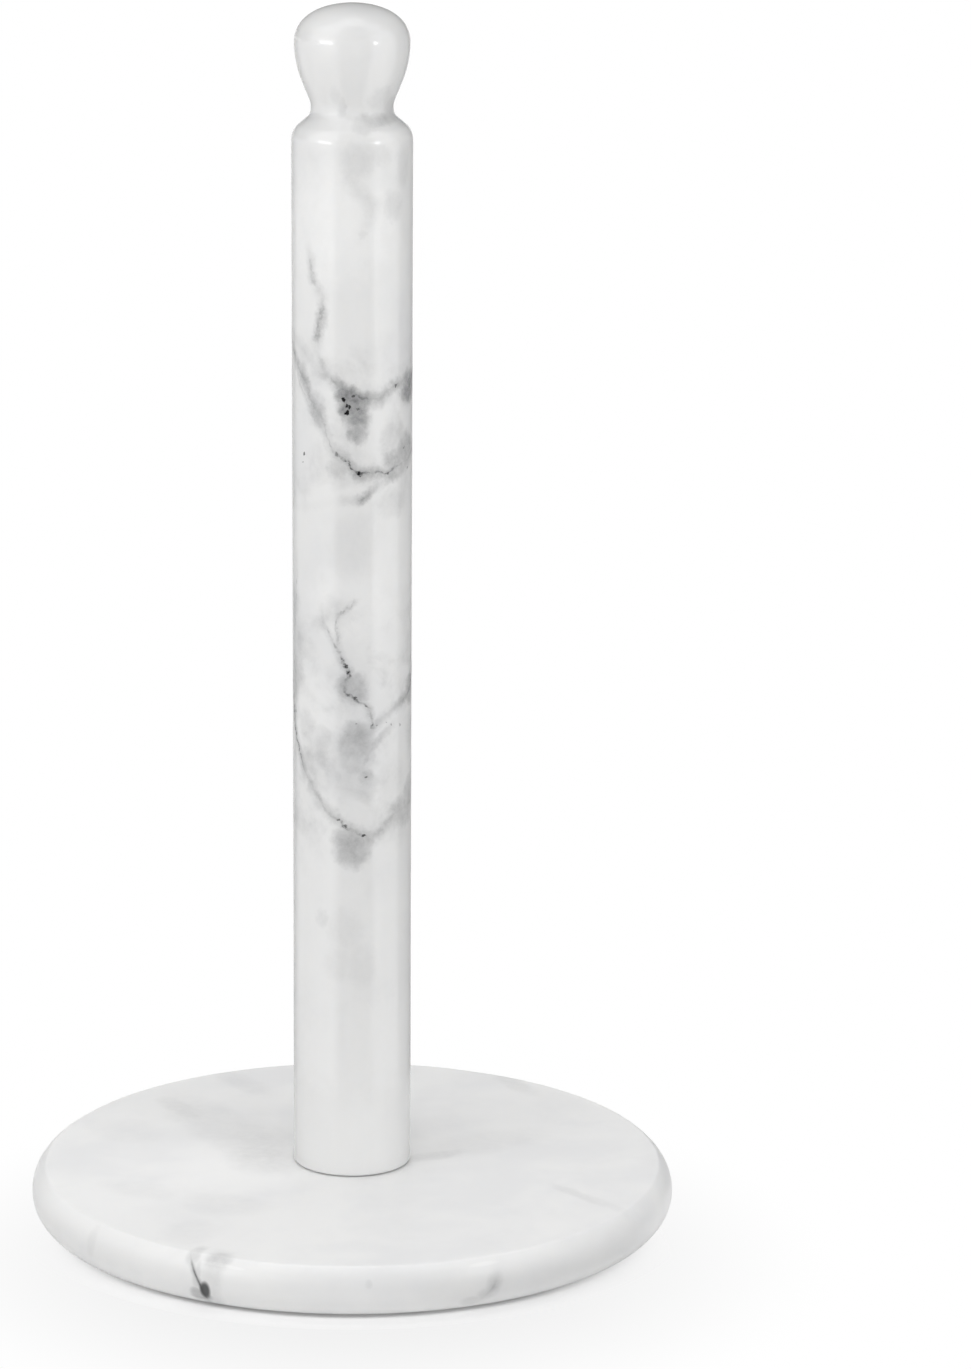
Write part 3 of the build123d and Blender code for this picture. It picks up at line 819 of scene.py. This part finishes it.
washerNylon = {
    "fresh": (0.76, 0.745, 0.69, 1.0), "aged": (0.63, 0.6, 0.52, 1.0), "roughness": 0.42, "polishSpread": 0.14,
    "blotches": (5.0, 5.0, 0.6, 0.0, 0.4, 0.7), "grain": (0.25, 3.0, 0.6),
    "depthAmount": 0.35, "depthColours": (1.0, 0.9, 0.7), "depth": 0.6, "bumpStrength": 0.3, "bumpDepth": 0.00003,
}


def mouldedNylon(look):
    # milky plastic, yellower in blotches, with a faint moulded grain
    material, shader = newMaterial("washerNylon")
    position = millimetres(shader)
    aged = pattern(position, look["blotches"])
    grain = noise(position, *look["grain"])
    fill(shader, {
        "Base Color": blendColour(aged, look["fresh"], look["aged"]),
        "Roughness": aboutMiddle(grain, look["polishSpread"], look["roughness"]),
        "Subsurface Weight": look["depthAmount"], "Subsurface Radius": look["depthColours"],
        "Subsurface Scale": look["depth"] * mm,
        "Normal": bumps(grain, look["bumpStrength"], look["bumpDepth"]),
    })
    return material


padRubber = {
    "black": (0.022, 0.022, 0.023, 1.0), "dusty": (0.09, 0.088, 0.084, 1.0), "roughness": 0.78, "dustRoughness": 0.15,
    "pebblesPerMm": 2.2, "dust": (4.0, 6.0, 0.66, 0.0, 0.44, 0.74),
    "pebbleEdge": (0.6, 0.1), "dustOnPebbles": (0.3, 0.9), "bumpStrength": 0.45, "bumpDepth": 0.00008,
}


def stampedRubber(look):
    # black rubber with a pebbled skin, and dust that clings in blotches and on the high grains
    material, shader = newMaterial("padRubber")
    position = millimetres(shader)
    pebbles = node(position, "TexVoronoi", {"Vector": position, "Scale": look["pebblesPerMm"]}).outputs["Distance"]
    clinging = fade(pebbles, *look["pebbleEdge"], *look["dustOnPebbles"])
    dust = calc("MULTIPLY", pattern(position, look["dust"]), clinging)
    fill(shader, {
        "Base Color": blendColour(dust, look["black"], look["dusty"]),
        "Roughness": calc("MULTIPLY_ADD", dust, look["dustRoughness"], look["roughness"]),
        "Normal": bumps(pebbles, look["bumpStrength"], look["bumpDepth"], invert=True),
    })
    return material


nut.data.materials.append(turnedMetal("nutSteel", nutSteel))
stud.data.materials.append(turnedMetal("studSteel", studSteel))
brass = turnedMetal("insertBrass", insertBrass)
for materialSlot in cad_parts["pole_insert"].material_slots:
    materialSlot.material = brass
washer.data.materials.append(mouldedNylon(washerNylon))
rubber = stampedRubber(padRubber)
for pad in pads:
    pad.data.materials.append(rubber)
print("metal, nylon and rubber done")

# place and size in metres, turn in degrees; only the two glows are mirrored by the polish
lamps = {
    "leftWall": {"place": (-0.45, -0.36, 0.24), "turn": (0, -90, 0), "size": (0.24, 0.92), "radiance": 1.1},
    "rightLow": {"place": (0.45, -0.31, 0.06), "turn": (0, 90, 0), "size": (0.12, 0.62), "radiance": 0.9},
    "rightWall": {"place": (0.45, -0.31, 0.24), "turn": (0, 90, 0), "size": (0.24, 0.62), "radiance": 1.55},
    "leftGlow": {"place": (-0.42, -0.35, 0.36), "turn": (0, -90, 0), "size": (0.12, 0.36), "radiance": 3.0},
    "rightGlow": {"place": (0.42, -0.39, 0.36), "turn": (0, 90, 0), "size": (0.11, 0.17), "radiance": 4.2},
    "topFront": {"place": (0.0, -1.5, 3.0), "turn": (0, 0, 0), "size": (3.6, 1.5), "radiance": 3.25},
    "topBack": {"place": (0.0, 1.5, 3.0), "turn": (0, 0, 0), "size": (3.6, 1.5), "radiance": 2.4},
    "topLeft": {"place": (-2.7, 0.0, 3.0), "turn": (0, -30, 0), "size": (1.5, 3.6), "radiance": 1.35},
    "frontFill": {"place": (0.0, -1.5, 0.5), "turn": (90, 0, 0), "size": (1.2, 0.8), "radiance": 1.65},
}
mirroredLamps = ("leftGlow", "rightGlow")
for name, lamp in lamps.items():
    light = bpy.data.lights.new(name, "AREA")
    light.shape = "RECTANGLE"
    light.size, light.size_y = lamp["size"]
    light.energy = lamp["radiance"] * math.pi * lamp["size"][0] * lamp["size"][1]  # area lamps spread power over pi
    lightObject = bpy.data.objects.new(name, light)
    lightObject.location = lamp["place"]
    lightObject.rotation_euler = Euler([math.radians(angle) for angle in lamp["turn"]])
    lightObject.visible_camera = False
    lightObject.visible_glossy = name in mirroredLamps
    bpy.context.scene.collection.objects.link(lightObject)

# levels, and distances in metres: the floor shows its own shade near the base, then a glow that is dimmer near the base
# as a painted soft shadow and turns white further out; sideMiddle lies in front of the axis, so that the shade thins
# out towards the sides and back
studio = {
    "ambient": 0.09, "floor": 0.9, "floorRoughness": 0.9, "floorSize": 8.0,
    "shadeFrom": 0.084, "shadeTo": 0.0885, "leastGlow": 0.12,
    "sideMiddle": (0.0, -0.035, 0.0), "sideFrom": 0.045, "sideTo": 0.08,
    "paintedShadowGlow": 0.875, "glowFrom": 0.04, "glowTo": 0.125,
    "mirrorFrom": 0.14, "mirrorTo": 0.26,
}


def seenAndMirrored(beside):
    # 1 for what is looked at directly, and 1 for what a polished or clear piece shows
    rays = node(beside, "LightPath").outputs
    return rays["Is Camera Ray"], calc("MAXIMUM", rays["Is Glossy Ray"], rays["Is Transmission Ray"])


world = bpy.data.worlds.new("studio")
world.use_nodes = True
bpy.context.scene.world = world
sky = world.node_tree.nodes["Background"]
bright = calc("MAXIMUM", *seenAndMirrored(sky))
level = calc("MULTIPLY_ADD", bright, 1.0 - studio["ambient"], studio["ambient"])
fill(sky, {"Color": grey(1.0), "Strength": level})

half = studio["floorSize"] / 2
floorMesh = bpy.data.meshes.new("floor")
floorMesh.from_pydata([(-half, -half, 0), (half, -half, 0), (half, half, 0), (-half, half, 0)], [], [(0, 1, 2, 3)])
floor = bpy.data.objects.new("floor", floorMesh)
bpy.context.scene.collection.objects.link(floor)
paper, shader = newMaterial("floorPaper")
fill(shader, {"Base Color": grey(studio["floor"]), "Roughness": studio["floorRoughness"], "Specular IOR Level": 0.0})
onFloor = node(shader, "TexCoord").outputs["Object"]
away = vectorCalc("LENGTH", {0: onFloor}, "Value")
aside = vectorCalc("DISTANCE", {0: onFloor, 1: studio["sideMiddle"]}, "Value")
seen, mirrored = seenAndMirrored(shader)
mirrored = calc("MULTIPLY", fade(away, studio["mirrorFrom"], studio["mirrorTo"]), mirrored)
clear = fade(away, studio["shadeFrom"], studio["shadeTo"], studio["leastGlow"], 1.0)
clear = calc("MAXIMUM", clear, fade(aside, studio["sideFrom"], studio["sideTo"]))
bright = calc("MAXIMUM", calc("MULTIPLY", clear, seen), mirrored)
# the glow is dimmer near the base: a painted soft shadow on the floor round it
strength = fade(aside, studio["glowFrom"], studio["glowTo"], studio["paintedShadowGlow"], 1.0)
glow = node(shader, "Emission", {"Color": grey(1.0), "Strength": strength}).outputs[0]
mixed = node(shader, "MixShader", {0: bright, 1: shader.outputs[0], 2: glow}).outputs[0]
fill(paper.node_tree.nodes["Material Output"], {"Surface": mixed})
floorMesh.materials.append(paper)

# grey strips round the middle, in degrees from the front and metres, which the stone's polish mirrors: those that
# stand have another on the floor before them, and the levels are of both
standingCards = {
    "leftEdgeCard": {"degrees": (-162, -132), "out": 0.4, "rise": 0.32, "levels": (0.6, 0.55)},
    "rightEdgeCard": {"degrees": (98, 162), "out": 0.4, "rise": 0.32, "levels": (0.3, 0.3)},
    "gapCard": {"degrees": (-26, 36), "out": 0.6, "rise": 2.6, "levels": (0.1, 0.1)},
    "gapLeftCard": {"degrees": (-34, -26), "out": 0.6, "rise": 2.6, "levels": (0.5, 0.5)},
    "gapRightCard": {"degrees": (36, 42), "out": 0.6, "rise": 2.6, "levels": (0.5, 0.5)},
}
# those overhead, with distance and height of both edges
highCards = {
    "roofCard": {"degrees": (95, 265), "near": (0.18, 0.9), "far": (0.6, 0.9), "level": 0.1},
    "backCard": {"degrees": (95, 265), "near": (0.6, 0.33), "far": (0.6, 0.9), "level": 0.1},
}
# strips on the floor that aren't mirrored, and only shade the rim from the floor's light
shadeCards = {
    "shadeRightCard": {"degrees": (12, 64), "level": 0.2},
    "shadeLeftCard": {"degrees": (-115, -46), "level": 0.5},
    "shadeFrontCard": {"degrees": (-46, 12), "level": 0.55},
}
cardShape = {"columns": 24, "floorNear": 0.11, "floorLift": 0.001, "shadeSpan": (0.088, 0.5), "shadeLift": 0.0006}


def greyCard(name, degrees, near, far, level, shade=False):
    # an even turn across, straight from the near edge to the far one
    columns = cardShape["columns"]
    turn = np.radians(np.linspace(*degrees, columns))[:, None]
    distance, rise = np.array([near, far]).T[:, None, :]
    x, y, z = np.broadcast_arrays(distance * np.sin(turn), -distance * np.cos(turn), rise)
    strip = np.arange(columns - 1)[:, None] * 2 + np.array([0, 2, 3, 1])[None, :]
    cardMesh = bpy.data.meshes.new(name)
    cardMesh.from_pydata(np.stack([x, y, z], axis=-1).reshape(-1, 3).tolist(), [], strip.tolist())
    cardPaper, shader = newMaterial(name + "Paper")
    fill(shader, {"Base Color": grey(level), "Roughness": 1.0})
    cardMesh.materials.append(cardPaper)
    cardObject = bpy.data.objects.new(name, cardMesh)
    cardObject.visible_camera = cardObject.visible_shadow = False
    cardObject.visible_diffuse, cardObject.visible_glossy = shade, not shade
    cardObject.visible_transmission = False
    bpy.context.scene.collection.objects.link(cardObject)


for name, card in standingCards.items():
    out, lift = card["out"], cardShape["floorLift"]
    floorName = name.replace("Edge", "").replace("Card", "FloorCard")
    greyCard(name, card["degrees"], (out, 0.0), (out, card["rise"]), card["levels"][0])
    greyCard(floorName, card["degrees"], (cardShape["floorNear"], lift), (out, lift), card["levels"][1])
for name, card in highCards.items():
    greyCard(name, card["degrees"], card["near"], card["far"], card["level"])
for name, card in shadeCards.items():
    near, far = ((distance, cardShape["shadeLift"]) for distance in cardShape["shadeSpan"])
    greyCard(name, card["degrees"], near, far, card["level"], shade=True)
print("studio done")

# distance and height in metres; focal length and the axis's column in pixels of a picture of photoSize
cameraLook = {
    "distance": 1.1311, "height": 0.4070, "downDegrees": 13.355, "focal": 4614.7, "axisColumn": 352.2,
    "photoSize": (971, 1369), "sensor": 36.0, "clip": (0.01, 50.0),
}
photoSize = cameraLook["photoSize"]
camera = bpy.data.cameras.new("camera")
camera.sensor_width = cameraLook["sensor"]
camera.lens = cameraLook["focal"] * cameraLook["sensor"] / max(photoSize)
camera.shift_x = (photoSize[0] / 2 - cameraLook["axisColumn"]) / max(photoSize)
camera.clip_start, camera.clip_end = cameraLook["clip"]
cameraObject = bpy.data.objects.new("camera", camera)
cameraObject.location = (0.0, -cameraLook["distance"], cameraLook["height"])
cameraObject.rotation_euler = Euler((math.radians(90.0 - cameraLook["downDegrees"]), 0.0, 0.0))
bpy.context.scene.collection.objects.link(cameraObject)
bpy.context.scene.camera = cameraObject
bpy.context.scene.view_settings.view_transform = "Standard"
